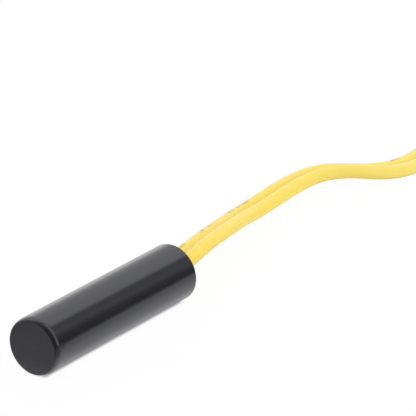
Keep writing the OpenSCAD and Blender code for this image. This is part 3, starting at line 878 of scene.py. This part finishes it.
def new_recipe(name, sizes):
    """A geometry tree with named inputs; gives the tree and its inputs."""
    group = bpy.data.node_groups.new(name, "GeometryNodeTree")
    for label, kind in {**sizes, "Material": "Material"}.items():
        group.interface.new_socket(label, in_out="INPUT", socket_type="NodeSocket" + kind)
    group.interface.new_socket("Geometry", in_out="OUTPUT", socket_type="NodeSocketGeometry")
    tree = Tree(group)
    start = group.nodes.new("NodeGroupInput")
    return tree, {socket.name: Value(tree, socket) for socket in start.outputs if socket.name}


def end_recipe(tree, geometry, material):
    """Ends a geometry tree with real faces in one material."""
    real = tree.node("GeometryNodeRealizeInstances", None, {"Geometry": geometry})
    painted = tree.node("GeometryNodeSetMaterial", None, {"Geometry": real, "Material": material})
    tree.node("NodeGroupOutput", None, {"Geometry": painted})


def run_recipe(name, tree, sizes, sharp_above=40):
    """Makes a plain mesh piece from a geometry tree and the values of its inputs."""
    piece = bpy.data.objects.new(name, bpy.data.meshes.new(name))
    scene.collection.objects.link(piece)
    recipe = piece.modifiers.new("recipe", "NODES")
    recipe.node_group = tree.nodes
    for item in tree.nodes.interface.items_tree:
        if item.in_out == "INPUT":
            recipe[item.identifier] = sizes[item.name]
    applied(piece)
    smooth(piece.data, sharp_above)
    return piece


def strand_recipe():
    """A stranded core along X: a middle strand, and others laid round it in a spiral."""
    tree, size = new_recipe("stranded_core", {
        "Start": "Vector", "Length": "Float", "Strand radius": "Float", "Outer strands": "Int",
        "Turns": "Float",
    })
    lay_r = 2 * size["Strand radius"]
    round_wire = tree.node("GeometryNodeCurvePrimitiveCircle", None, {
        "Resolution": 10, "Radius": size["Strand radius"],
    })
    spiral = tree.node("GeometryNodeCurveSpiral", None, {
        "Resolution": 24, "Rotations": size["Turns"], "Start Radius": lay_r, "End Radius": lay_r,
        "Height": size["Length"],
    })
    laid = tree.node("GeometryNodeCurveToMesh", None, {
        "Curve": spiral, "Profile Curve": round_wire, "Fill Caps": True,
    })
    number = tree.node("GeometryNodeInputIndex")
    apart = 2 * math.pi / size["Outer strands"]
    turn = tree.node("ShaderNodeCombineXYZ", None, {"Z": number * apart})
    points = tree.node(
        "GeometryNodeMeshLine", None, {"Count": size["Outer strands"], "Offset": (0, 0, 0)}
    )
    outer = tree.node(
        "GeometryNodeInstanceOnPoints", None, {"Points": points, "Instance": laid, "Rotation": turn}
    )
    top = tree.node("ShaderNodeCombineXYZ", None, {"Z": size["Length"]})
    line = tree.node("GeometryNodeCurvePrimitiveLine", None, {"End": top})
    middle = tree.node("GeometryNodeCurveToMesh", None, {
        "Curve": line, "Profile Curve": round_wire, "Fill Caps": True,
    })
    joined = tree.node("GeometryNodeJoinGeometry", None, {"Geometry": [outer, middle]})
    placed = tree.node("GeometryNodeTransform", None, {
        "Geometry": joined, "Translation": size["Start"], "Rotation": (0, math.pi / 2, 0),
    })
    end_recipe(tree, placed, size["Material"])
    return tree


def stranded_cores():
    """Bare ends of the two cores, at the splices and in the plug."""
    copper = metal_finish("copper_core")
    tree = strand_recipe()
    made = []
    for node in ("probe_core_a", "probe_core_b", "plug_core_a", "plug_core_b"):
        low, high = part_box(node)
        length = high.x - low.x
        piece = run_recipe("strands_" + node, tree, {
            "Start": (low.x, (low.y + high.y) / 2, (low.z + high.z) / 2), "Length": length,
            "Strand radius": STRAND_R, "Outer strands": OUTER_STRANDS,
            "Turns": length / LAY_LENGTH, "Material": copper,
        })
        made.append(seated(piece, "copper_core", node))
    return made


# Tie's head about the middle of the bundle, in millimetres: the strap's slot, the deeper mouth of
# the slot, and the recess over the pawl
SLOT_HALF_W = 1.4
SLOT_LOW, SLOT_HIGH = 3.25, 4.25
SLOT_Z = (SLOT_LOW + SLOT_HIGH) / 2
DEEP_LOW, DEEP_FROM_Y = 2.45, 0.6
PAWL_HALF_W, PAWL_LOW = 0.9, 4.75
PAWL_FROM_Y, PAWL_TO_Y = -1.0, 0.4
# Cuts through the head across the strap, along it and in height
HEAD_X = [-2.0, -SLOT_HALF_W, -PAWL_HALF_W, PAWL_HALF_W, SLOT_HALF_W, 2.0]
HEAD_Y = [-2.2, PAWL_FROM_Y, PAWL_TO_Y, DEEP_FROM_Y, 2.2]
HEAD_Z = [1.95, DEEP_LOW, SLOT_LOW, SLOT_HIGH, PAWL_LOW, 5.15]
# Strap: where it starts under the head, its bend up into the slot, and its trimmed end
STRAP_START_Y = 0.8
ENTRY_R = 1.9
TRIMMED_Y = -3.8
# Strap's section: its soft edge, and the half width and depth of the channel on its inner side
STRAP_EDGE = 0.12 * MM
CHANNEL_HALF_W = 0.75 * MM
CHANNEL_DEPTH = 0.18 * MM
# Teeth on the trimmed end: how many, their pitch, radius and width, and the first one's place
# from the end in millimetres
TEETH = 9
TOOTH_PITCH = 0.45 * MM
TOOTH_R = 0.2 * MM
TOOTH_W = 1.5 * MM
FIRST_TOOTH = 0.25


def head_is_open(x, y, z):
    """The strap's slot, its deeper mouth, and the recess of the pawl on top."""
    slot = abs(x) < SLOT_HALF_W and SLOT_LOW < z < SLOT_HIGH
    mouth = abs(x) < SLOT_HALF_W and DEEP_LOW < z < SLOT_LOW and y > DEEP_FROM_Y
    recess = abs(x) < PAWL_HALF_W and z > PAWL_LOW and PAWL_FROM_Y < y < PAWL_TO_Y
    return slot or mouth or recess


def tie_head(material):
    """The tie's head, as the outer faces of the filled cells of a grid, with soft edges."""
    middles = [[(a + b) / 2 for a, b in zip(cuts, cuts[1:])] for cuts in (HEAD_X, HEAD_Y, HEAD_Z)]
    filled = {
        (i, j, k)
        for i, x in enumerate(middles[0]) for j, y in enumerate(middles[1])
        for k, z in enumerate(middles[2]) if not head_is_open(x, y, z)
    }
    work = bmesh.new()
    corners = {}

    def corner(i, j, k):
        if (i, j, k) not in corners:
            place = Vector((HEAD_X[i], HEAD_Y[j], HEAD_Z[k])) * MM
            corners[(i, j, k)] = work.verts.new(place + Vector((BUNDLE_X, BUNDLE_Y, BUNDLE_Z)))
        return corners[(i, j, k)]

    for cell in filled:
        for axis in range(3):
            for step in (0, 1):
                beside = list(cell)
                beside[axis] += 2 * step - 1
                if tuple(beside) in filled:
                    continue
                others = [a for a in range(3) if a != axis]
                face = []
                for p, q in ((0, 0), (1, 0), (1, 1), (0, 1)):
                    at = list(cell)
                    at[axis] += step
                    at[others[0]] += p
                    at[others[1]] += q
                    face.append(corner(*at))
                work.faces.new(face)
    bmesh.ops.recalc_face_normals(work, faces=work.faces)
    mesh = bpy.data.meshes.new("tie_head")
    work.to_mesh(mesh)
    work.free()
    mesh.materials.append(material)
    piece = bpy.data.objects.new("tie_head", mesh)
    scene.collection.objects.link(piece)
    return soft_edges(piece, width=0.16 * MM, steps=3)


def soft_edges(piece, width, steps):
    """Rounds the sharp edges of a piece, and keeps its flat faces flat in the shading."""
    bevel = piece.modifiers.new("soft_edges", "BEVEL")
    bevel.width = width
    bevel.segments = steps
    bevel.limit_method = "ANGLE"
    bevel.angle_limit = math.radians(30)
    bevel.harden_normals = True
    piece.data.shade_smooth()
    return applied(piece)


def strap_path():
    """Points (along the bundle's side, up) of the strap: out of the head, round, and back in."""
    half_w = BUNDLE_W / 2 + TIE_T / 2
    half_h = LEAD_W / 2 + TIE_T / 2
    bend = WIRE_R + TIE_T / 2
    slot_z = SLOT_Z * MM
    entry = ENTRY_R * MM
    points = [(STRAP_START_Y * MM, half_h)]
    points += arc(bend - half_w, half_h - bend, bend, 90, 180, 8)
    points += arc(bend - half_w, bend - half_h, bend, 180, 270, 8)
    points += arc(half_w - bend, bend - half_h, bend, 270, 360, 8)
    points += arc(half_w - entry, slot_z - entry, entry, 0, 90, 12)
    return points + [(TRIMMED_Y * MM, slot_z)]


def tie_strap(material):
    """Strap with a toothed channel on its inner side, swept round the bundle."""
    half_w = TIE_W / 2
    half_t = TIE_T / 2
    flat_w = half_w - STRAP_EDGE
    flat_t = half_t - STRAP_EDGE
    floor_t = CHANNEL_DEPTH - half_t
    section = [
        (half_w, -flat_t), (half_w, flat_t), (flat_w, half_t),
        (-flat_w, half_t), (-half_w, flat_t), (-half_w, -flat_t),
        (-flat_w, -half_t), (-CHANNEL_HALF_W, -half_t), (-CHANNEL_HALF_W, floor_t),
        (CHANNEL_HALF_W, floor_t), (CHANNEL_HALF_W, -half_t), (flat_w, -half_t),
    ]
    path = np.array(strap_path())
    ahead = np.gradient(path, axis=0)
    ahead /= np.linalg.norm(ahead, axis=1)[:, None]
    verts = []
    for (y, z), (along_y, along_z) in zip(path, ahead):
        for x, out in section:
            verts.append((BUNDLE_X + x, BUNDLE_Y + y + out * along_z, BUNDLE_Z + z - out * along_y))
    faces = tube_faces(0, len(path), len(section))
    return new_piece("tie_strap", verts, faces, material, sharp_above=30)


def tooth_recipe():
    """A row of wedge teeth, each lying along X with its edge downwards."""
    tree, size = new_recipe("strap_teeth", {
        "Start": "Vector", "Pitch": "Vector", "Count": "Int", "Width": "Float", "Radius": "Float",
    })
    row = tree.node(
        "GeometryNodeMeshLine", None,
        {"Count": size["Count"], "Start Location": size["Start"], "Offset": size["Pitch"]},
    )
    wedge = tree.node("GeometryNodeMeshCylinder", None, {
        "Vertices": 3, "Radius": size["Radius"], "Depth": size["Width"],
    })
    teeth = tree.node("GeometryNodeInstanceOnPoints", None, {
        "Points": row, "Instance": wedge, "Rotation": (0, math.pi / 2, 0),
    })
    end_recipe(tree, teeth, size["Material"])
    return tree


def hank_tie():
    """Nylon tie: head, strap and the teeth on the strap's trimmed end."""
    nylon = plain_finish("tie_nylon")
    first_y = BUNDLE_Y + (TRIMMED_Y + FIRST_TOOTH) * MM
    tooth_z = BUNDLE_Z + SLOT_Z * MM - TIE_T / 2 + TOOTH_R
    teeth = run_recipe("tie_teeth", tooth_recipe(), {
        "Start": (BUNDLE_X, first_y, tooth_z), "Pitch": (0, TOOTH_PITCH, 0), "Count": TEETH,
        "Width": TOOTH_W, "Radius": TOOTH_R, "Material": nylon,
    }, sharp_above=20)
    pieces = [tie_head(nylon), tie_strap(nylon), teeth]
    return [seated(piece, "tie_nylon", "hank_tie") for piece in pieces]


def plug_shell():
    """The plug's housing: a copy of its solid with merged faces and soft edges."""
    work = bmesh.new()
    work.from_mesh(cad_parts["plug_housing"].data)
    bmesh.ops.remove_doubles(work, verts=work.verts, dist=CLOSE)
    bmesh.ops.dissolve_limit(
        work, angle_limit=math.radians(1), verts=work.verts, edges=work.edges,
        use_dissolve_boundaries=False,
    )
    mesh = bpy.data.meshes.new("plug_shell")
    work.to_mesh(mesh)
    work.free()
    mesh.materials.clear()
    mesh.materials.append(plain_finish("plug_nylon"))
    piece = bpy.data.objects.new("plug_shell", mesh)
    scene.collection.objects.link(piece)
    piece = soft_edges(piece, width=0.1 * MM, steps=2)
    return seated(piece, "plug_nylon", "plug_housing")


# Finishes of the CAD nodes that keep their shape: the pieces in the resin, and the contacts
DRESSED = {
    "bead_epoxy": ["bead_coating"],
    "chip_ceramic": ["thermistor_chip"],
    "leg_sleeve": ["leg_sleeve_a", "leg_sleeve_b"],
    "shrink_tube": ["splice_shrink_a", "splice_shrink_b"],
    "tinned_wire": ["thermistor_leg_a", "thermistor_leg_b"],
    "splice_metal": ["splice_barrel_a", "splice_barrel_b"],
    "contact_metal": ["plug_contact_a", "plug_contact_b"],
}


def dress_nodes():
    for name, nodes in DRESSED.items():
        material = metal_finish(name) if name in METALS else plain_finish(name)
        for node in nodes:
            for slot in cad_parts[node].material_slots:
                slot.material = material


camera()
lead, lead_path = twin_lead()
studio_world()
floor()
for lamp_facts in LAMPS:
    lamp(*lamp_facts)
probe_shell()
resin_fill()
dress_nodes()
cores = stranded_cores()

plug_shell()
hank_tie()

scene.view_settings.view_transform = "Standard"
